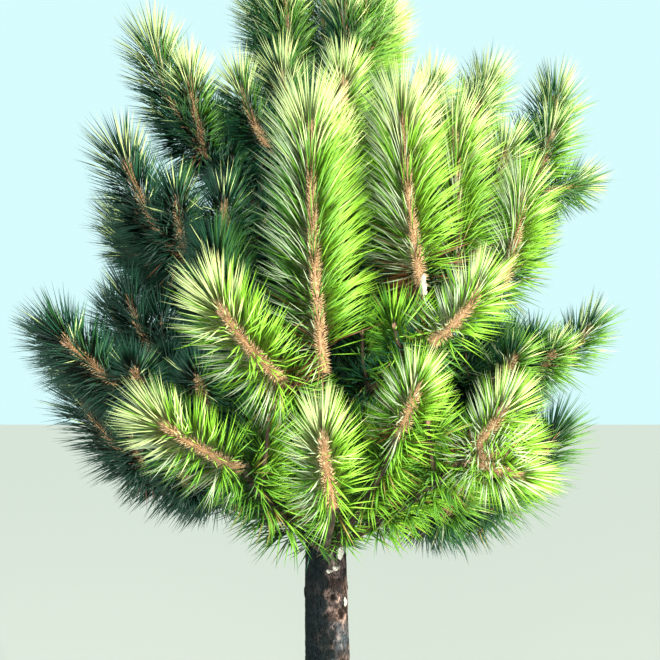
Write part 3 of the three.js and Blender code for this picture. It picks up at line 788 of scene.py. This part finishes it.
def bud_tubes(feet, directions, lengths, radii):
    """Buds as turned eggs: the radius is the power 0.8 of a sine along the bud, stepped where a row of
    scales ends. Whole arrays over buds, rows and columns."""
    share = np.linspace(0.02, 0.97, BUD_ROWS)
    around = np.linspace(0, 2 * np.pi, BUD_COLUMNS, endpoint=False)
    across, third = crosswise(directions, [0.31, 0.52, 0.795])
    swell = np.sin(np.pi * share ** 0.62) ** 0.8 * (1 + 0.12 * (np.arange(BUD_ROWS) % 2))
    wide = radii[:, None, None, None] * swell[None, :, None, None]
    ring = (across[:, None, None] * np.cos(around)[None, None, :, None]
            + third[:, None, None] * np.sin(around)[None, None, :, None])
    line = feet[:, None] + directions[:, None] * (lengths[:, None] * share)[..., None]
    skin = line[:, :, None] + ring * wide
    count = BUD_ROWS * BUD_COLUMNS
    poles = np.stack([feet, feet + directions * lengths[:, None]], 1)
    points = np.concatenate([skin.reshape(len(feet), count, 3), poles], 1)
    faces = [repeated(part, len(feet), count + 2) for part in tube_faces(BUD_ROWS, BUD_COLUMNS)]
    return points.reshape(-1, 3), faces


feet, directions, lengths, radii = [], [], [], []
for limb in shoots + side_shoots:
    tip, direction, under = limb.at(1 - BUD_SEAT / limb.length)
    size = limb.tip_radius / SHOOT_TIP_RADIUS
    feet.append(tip)
    directions.append(direction)
    lengths.append(BUD_LENGTH * size)
    radii.append(BUD_RADIUS * size)
    for k in range(SMALL_BUDS if limb.kind == "shoot" else 0):
        turned = math.radians(360 / SMALL_BUDS * k + SMALL_BUD_START)
        out = limb.side * math.cos(turned) + under * math.sin(turned)
        feet.append(tip + out * SMALL_BUD_OUT - direction * SMALL_BUD_BACK)
        directions.append(direction * math.cos(SMALL_BUD_LEAN) + out * math.sin(SMALL_BUD_LEAN))
        lengths.append(SMALL_BUD_LENGTH)
        radii.append(BUD_RADIUS * SMALL_BUD_SHARE)
points, faces = bud_tubes(*(np.array(values) for values in (feet, directions, lengths, radii)))
make_piece("buds", points, faces, bud_skin)

# Needles. They stand in pairs, each pair in a short papery sheath on the shoot, stiff and about 10 cm
# long, and stay on for three years. They make the plumes of this year's shoots, the looser older rows
# on the twigs behind them and on the young trunk, and dead ones stay at the shoots' feet.
NEEDLE_BASE_LENGTH = 0.046
NEEDLE_GAIN = 0.24
NEEDLE_LONGEST = 0.106
NEEDLE_WIDTH = 0.0018
SIDE_NEEDLE_WIDTH = 0.0024
NEEDLE_TWIST = math.radians(137.508)
OLD_NEEDLE_SHARE = 0.92
PARTING_SPREAD = 22
PARTING_LOSS = 0.35
SHEATH_LENGTH = 0.011
SHEATH_WIDTH = 0.0024
CROWN_HALF_WIDTH = 0.66
PIECE_NEEDLES = 40000
CLUMP_LENGTH = 0.052
CLUMP_SPREAD = 7
FRONT_GAIN = 0.35
FOOT_HANG = 40
FOOT_HANG_LENGTH = 0.028
# For each kind of limb, its pairs to the metre, their spread in degrees at the foot, at the end and
# round the bud, and how far they droop.
ROWS = {
    "shoot": {"pairs": 1900, "spread": (70, 36, 20), "droop": 0.0},
    "side": {"pairs": 820, "spread": (66, 38, 20), "droop": 0.0},
    "twig": {"pairs": 950, "spread": (66, 60, 58), "droop": 0.22},
    "trunk": {"pairs": 1500, "spread": (62, 55, 50), "droop": 0.10},
}

# Needle skins: waxy and satin, so the gloss is soft. The greens are lit and shaded copies of one needle
# colour, which paint light and shade, down to the blue-green ones on the shaded side. Beside them are
# the pale new needles round the buds, more of them where sunnier as painted highlight, the silvery ones,
# which are a painted sheen of sky light, the yellowing old ones and the dead ones.
TINTS = {
    "pale_tuft": "#c4d28c",
    "sunlit_bright_green": "#7cb02a",
    "sunlit_green": "#5f9422",
    "mid_green": "#40721e",
    "deep_green": "#2a5a22",
    "blue_green": "#184c30",
    "shadow_teal": "#0d3424",
    "yellowing": "#7c7434",
    "dead": "#683c26",
    "sky_sheen": "#aebc98",
}
TINT_NAMES = list(TINTS)
PALE, YELLOWING, DEAD, SKY_SHEEN = (
    TINT_NAMES.index(name) for name in ("pale_tuft", "yellowing", "dead", "sky_sheen"))

SHED = -1
# How sunny a spray is at least, and what it gains in front, on the right, low in front, at the back
# and near the top, and on side shoots and twigs low in front.
SUNNY = {"least": 0.10, "front": 0.56, "right": 0.28, "low": 0.20, "back": 0.26, "top": 0.30,
         "low_inner": 0.32}
# The lightness at which each green gives way to the next, from the brightest down.
TINT_STEPS = (0.80, 0.60, 0.42, 0.26, 0.12)
rng = np.random.default_rng(20)


def place_on_plant(limb):
    """The height of a limb's middle, how far it stands to the right, to the back and out from the
    trunk as shares of the crown's half width there, and how much it belongs to the front."""
    right, back, height = limb.at(np.array([0.5]))[0][0]
    half_width = min(CROWN_HALF_WIDTH, max(0.16, CROWN_HALF_WIDTH - 0.42 * (height - 1.15)))
    right, back = right / half_width, back / half_width
    return height, right, back, math.hypot(right, back), smooth_step(0.30, 0.80, -back)


def needle_pairs(limb, row, length, front):
    """Needles of a limb: pairs set by the golden angle, leaning forward by a spread that goes evenly
    from the foot's to the end's and closes round the bud, the two of a pair a few degrees apart. On
    the side that looks away from the trunk they part: there are fewer, and they stand out further.
    Shoots in front, in full sun, part most and are the densest.

    Gives foot and tip of each needle, the share of the limb where it stands, how far it points to the
    right, and its sheath's ends. Waves along and round the limb gather them into loose clumps."""
    first, last = limb.bearing
    denser = 1 + FRONT_GAIN * front if limb.kind == "shoot" else 1
    count = max(4, int(limb.length * (last - first) * row["pairs"] * denser))
    share = first + (last - first) * (np.arange(count) + rng.random(count) * 0.7) / count
    angle = np.arange(count) * NEEDLE_TWIST + rng.normal(0, 0.16, count)
    point, direction, under = limb.at(share)
    out = limb.side * np.cos(angle)[:, None] + under * np.sin(angle)[:, None]
    outwards = (point - trunk_centre(point[:, 2])) * [1, 1, 0]
    outwards -= direction * np.sum(direction * outwards, 1, keepdims=True)
    parting = smooth_step(0.55, 1.0, np.sum(out * unit(outwards), 1)) * (0.2 + 0.8 * front)
    closing = smooth_step(1 - 0.030 / limb.length, 1.0, share)
    kept = rng.random(count) > PARTING_LOSS * parting * (1 - closing)
    share, point, direction, out, parting, closing = (
        values[kept] for values in (share, point, direction, out, parting, closing))
    count = len(share)
    foot_spread, end_spread, bud_spread = row["spread"]
    clump = np.sin(share * limb.length * 2 * np.pi / CLUMP_LENGTH + 2 * angle[kept] + limb.turn)
    spread = foot_spread + (end_spread - foot_spread) * share
    spread += PARTING_SPREAD * parting + CLUMP_SPREAD * clump
    if limb.kind == "shoot":
        spread += FOOT_HANG * np.exp(-(share * limb.length / FOOT_HANG_LENGTH) ** 2)
    spread = np.radians(spread + (bud_spread - spread) * closing + rng.normal(0, 6, count))
    lean = unit(direction * np.cos(spread)[:, None] + out * np.sin(spread)[:, None] - [0, 0, row["droop"]])
    foot = point + out * (limb.taper(share) * 0.8)[:, None]
    sheath_tip = foot + lean * SHEATH_LENGTH
    reach = length * (1 - 0.16 * np.exp(-share * limb.length / 0.03)) * rng.uniform(0.86, 1.02, count)
    reach *= 1 + 0.05 * clump
    beside = unit(np.cross(lean, out))
    forward = direction - lean * np.sum(direction * lean, 1, keepdims=True)
    needles = []
    for sign in (-1, 1):
        open_angle = np.radians(rng.uniform(2.5, 7.5, count)) * sign
        lift_angle = np.radians(rng.normal(2, 3.0, count))
        way = unit(lean + beside * np.tan(open_angle)[:, None] + forward * np.tan(lift_angle)[:, None])
        own = (reach * rng.uniform(0.95, 1.0, count))[:, None]
        start = foot + way * 0.004
        needles.append((start, start + way * own))
    start, tip = (np.concatenate(parts) for parts in zip(*needles))
    return start, tip, np.tile(share, 2), np.tile(out[:, 0], 2), foot, sheath_tip


def clear_of_trunk(places):
    """True where a place is outside the bark or above the trunk's top."""
    height = np.clip(places[:, 2], 0, TRUNK_HEIGHT)
    away = np.hypot(places[:, 0] - trunk_centre(height)[:, 0], places[:, 1])
    return (away > trunk_radius(height) + 0.002) | (places[:, 2] > TRUNK_HEIGHT)


def slivers(start, tip, width):
    """Needles as slivers with both ends drawn out: four points and four faces each. Two corners stand
    beside the line from end to end, a little before its middle, so that the cut there is a triangle."""
    across, third = crosswise(unit(tip - start), [0.36, 0.48, 0.80])
    middle = start + (tip - start) * 0.42
    wide = np.reshape(width, (-1, 1))
    left, right = (middle + (across * math.cos(math.pi / 6) + third * side) * wide for side in (0.5, -0.5))
    points = np.stack([start, tip, left, right], 1)
    pattern = np.array([[0, 2, 3], [1, 3, 2], [0, 1, 2], [0, 3, 1]])
    return points.reshape(-1, 3), [repeated(pattern, len(start), 4)]


def short_spikes(start, tip, width):
    """Four-faced spikes, for the sheaths: a small three-cornered foot and a tip."""
    across, third = crosswise(unit(tip - start), [0.36, 0.48, 0.80])
    corners = (np.arange(3) * 2 * np.pi / 3)[None, :, None]
    ring = across[:, None] * np.cos(corners) + third[:, None] * np.sin(corners)
    points = np.concatenate([start[:, None] + ring * width / 2, tip[:, None]], 1)
    pattern = np.array([[0, 2, 1], [0, 1, 3], [1, 2, 3], [2, 0, 3]])
    return points.reshape(-1, 3), [repeated(pattern, len(start), 4)]


def tints_of(limb, share, rightwards, place):
    """The tint of each needle, which paints light and shade on it. The spray's own is by where it stands
    on the plant: brightest in front, less on the right, least on the left, and brighter at the top. On
    each spray the right side is brighter and the left darker, as painted light and shade, with pale
    grey-green ones on the left that are a painted sheen, and the end round the bud pale, more so where
    sunnier. At a shoot's foot some are dead, and those on its right are shed."""
    count = len(share)
    height, right, back, outer, front = place
    low_front = front * smooth_step(1.0, 0.8, height)
    sunny = SUNNY["least"] + SUNNY["front"] * front + SUNNY["right"] * smooth_step(-0.25, 0.45, right)
    sunny += SUNNY["low"] * low_front + SUNNY["back"] * smooth_step(0.10, 0.70, back) - limb.shade
    sunny += SUNNY["top"] * smooth_step(1.45, 1.90, height) + 0.06 * rng.normal()
    # Twigs and side shoots get painted shade, most deep inside the crown and less low in front.
    if limb.kind != "shoot":
        sunny += SUNNY["low_inner"] * low_front - 0.12 - 0.15 * smooth_step(0.55, 0.35, outer)
    steepness = np.where(rightwards > 0, 0.28, 0.28 - 0.16 * front)
    light = sunny + steepness * rightwards + rng.normal(0, 0.09, count)
    tint = np.digitize(-light, [-step for step in TINT_STEPS]) + 1
    if limb.kind != "shoot":
        aged = (0.04 if limb.kind == "side" else 0.18) * sunny
        return np.where(rng.random(count) < aged, YELLOWING, tint)
    from_bud = (1 - share) * limb.length
    # The pale share near the bud grows with the sun and high up: the pale new needles, and painted highlight.
    lifted = 0.60 * smooth_step(1.29, 1.44, height) if limb.shade < 0.4 else 0.0
    palest = min(0.90, max(0.05, 2 * sunny - 0.3) + lifted) - 0.40 * smooth_step(0.15, 0.60, right)
    pale = palest * np.exp(-(from_bud / min(0.072, 0.28 * limb.length)) ** 2)
    pale *= min(1, limb.length / 0.12) ** 2
    # Silvery needles on the shaded left of sunny sprays are a painted sheen of sky light.
    sheen_share = np.where(rightwards < -0.1, 0.50 * smooth_step(0.35, 0.60, sunny), 0.0)
    tint = np.where(rng.random(count) < sheen_share, SKY_SHEEN, tint)
    tint = np.where(rng.random(count) < pale, PALE, tint)
    from_foot = share * limb.length
    at_foot = np.exp(-(from_foot / max(0.018, 0.11 * limb.length)) ** 2)
    tint = np.where(rng.random(count) < (0.9 if limb.length > 0.25 else 0.25) * at_foot, DEAD, tint)
    lost = np.where(rightwards > 0.05, 1.3, 0.0) * np.exp(-(from_foot / max(0.030, 0.12 * limb.length)) ** 2)
    return np.where(rng.random(count) < lost, SHED, tint)


# Needles stand on the trunk itself from this height up, where it is still young.
YOUNG_HEIGHT = 1.12
young_trunk = Limb(trunk_centre(YOUNG_HEIGHT), 0, 90, 90, TRUNK_HEIGHT - YOUNG_HEIGHT,
                   float(trunk_radius(YOUNG_HEIGHT)), TRUNK_TIP_RADIUS, top, "trunk")
parts = {name: [] for name in TINT_NAMES}
sheath_feet, sheath_tips = [], []
for limb in shoots + side_shoots + twigs + [young_trunk]:
    length = min(NEEDLE_LONGEST, NEEDLE_BASE_LENGTH + NEEDLE_GAIN * limb.grown)
    if limb.kind in ("twig", "trunk"):
        length *= OLD_NEEDLE_SHARE
    place = place_on_plant(limb)
    start, tip, share, rightwards, sheath_foot, sheath_tip = needle_pairs(
        limb, ROWS[limb.kind], length, place[-1])
    tint = tints_of(limb, share, rightwards, place)
    keep = clear_of_trunk((start + tip) / 2) & clear_of_trunk(tip)
    width = np.full(len(start), NEEDLE_WIDTH if limb.kind == "shoot" else SIDE_NEEDLE_WIDTH)
    for number, name in enumerate(TINT_NAMES):
        chosen = keep & (tint == number)
        if chosen.any():
            parts[name].append((start[chosen], tip[chosen], width[chosen]))
    if limb.kind == "shoot":
        sheath_feet.append(sheath_foot)
        sheath_tips.append(sheath_tip)

foliage_nodes = [node for node in sorted(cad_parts) if node.startswith("foliage_")]
for name, hex_colour in TINTS.items():
    material, tree, shader = new_material(f"needle_skin_{name}")
    feed(shader, {"Base Color": linear(hex_colour), "Roughness": 0.44, "Specular IOR Level": 0.42})
    start, tip, width = (np.concatenate(group) for group in zip(*parts[name]))
    for n, first in enumerate(range(0, len(start), PIECE_NEEDLES)):
        chosen = slice(first, first + PIECE_NEEDLES)
        points, faces = slivers(start[chosen], tip[chosen], width[chosen])
        make_piece(f"needles_{name}_{n + 1}", points, faces, material, foliage_nodes)

# Sheaths: dry papery sleeves at the foot of each pair of needles, straw-coloured to rust.
sheath_skin, tree, shader = new_material("papery_needle_sheath")
feed(shader, {"Roughness": 0.7}, {"Base Color": mix(tree, noise(tree, 0.008, 2), "#a87e56", "#dcc298")})
points, faces = short_spikes(np.concatenate(sheath_feet), np.concatenate(sheath_tips), SHEATH_WIDTH)
make_piece("needle_sheaths", points, faces, sheath_skin)

# Floor, light and camera. A plain pale studio floor and a pale room, a warm soft-edged sun from the
# right, in front and above, and one large soft fill from the front. The camera stands at eye level,
# 1.5 m in front of the trunk, and looks up a little, as the phone did.
FLOOR_SIZE = 40.0
PHOTO_WIDTH = 660
FOCAL_PIXELS = 700
SENSOR_WIDTH = 36
CAMERA_PLACE = (-0.0147, -1.50, 1.05)
CAMERA_PITCH = 4.9
floor_mesh = bpy.data.meshes.new("floor")
half = FLOOR_SIZE / 2
corners = [(-half, -half, 0), (half, -half, 0), (half, half, 0), (-half, half, 0)]
floor_mesh.from_pydata(corners, [], [(0, 1, 2, 3)])
floor = bpy.data.objects.new("floor", floor_mesh)
bpy.context.scene.collection.objects.link(floor)
matt, tree, shader = new_material("pale_studio_floor")
feed(shader, {"Base Color": linear("#a6a8a6"), "Roughness": 0.9})
floor_mesh.materials.append(matt)

world = bpy.data.worlds.new("pale_room")
bpy.context.scene.world = world
world.use_nodes = True
world.node_tree.nodes.clear()
sky = add(world.node_tree, "Background", {"Color": linear("#d4f8fa"), "Strength": 1.04})
add(world.node_tree, "OutputWorld", {}, {"Surface": sky.outputs["Background"]})


def add_light(name, kind, place, target, settings, hex_colour):
    """A soft light of one kind at a place, turned so that it faces the target."""
    lamp = bpy.data.lights.new(name, kind)
    for key, value in settings.items():
        setattr(lamp, key, value)
    lamp.color = linear(hex_colour)[:3]
    holder = bpy.data.objects.new(name, lamp)
    way = Vector(place) - Vector(target)
    holder.location = place
    holder.rotation_euler = way.to_track_quat("Z", "Y").to_euler()
    bpy.context.scene.collection.objects.link(holder)


add_light("key", "SUN", (6.1, -4.3, 2.9), (0, 0, 0), {"energy": 8.6, "angle": math.radians(4)}, "#fff3d6")
add_light("fill", "AREA", (-0.7, -3.3, 1.25), (0, 0, 1.0), {"energy": 235, "size": 2.2}, "#f4f6ee")

camera_data = bpy.data.cameras.new("camera")
camera_data.sensor_width = SENSOR_WIDTH
camera_data.lens = FOCAL_PIXELS / PHOTO_WIDTH * SENSOR_WIDTH
camera = bpy.data.objects.new("camera", camera_data)
camera.location = CAMERA_PLACE
camera.rotation_euler = (math.radians(90 + CAMERA_PITCH), 0, 0)
bpy.context.scene.collection.objects.link(camera)
bpy.context.scene.camera = camera
bpy.context.scene.view_settings.view_transform = "Standard"
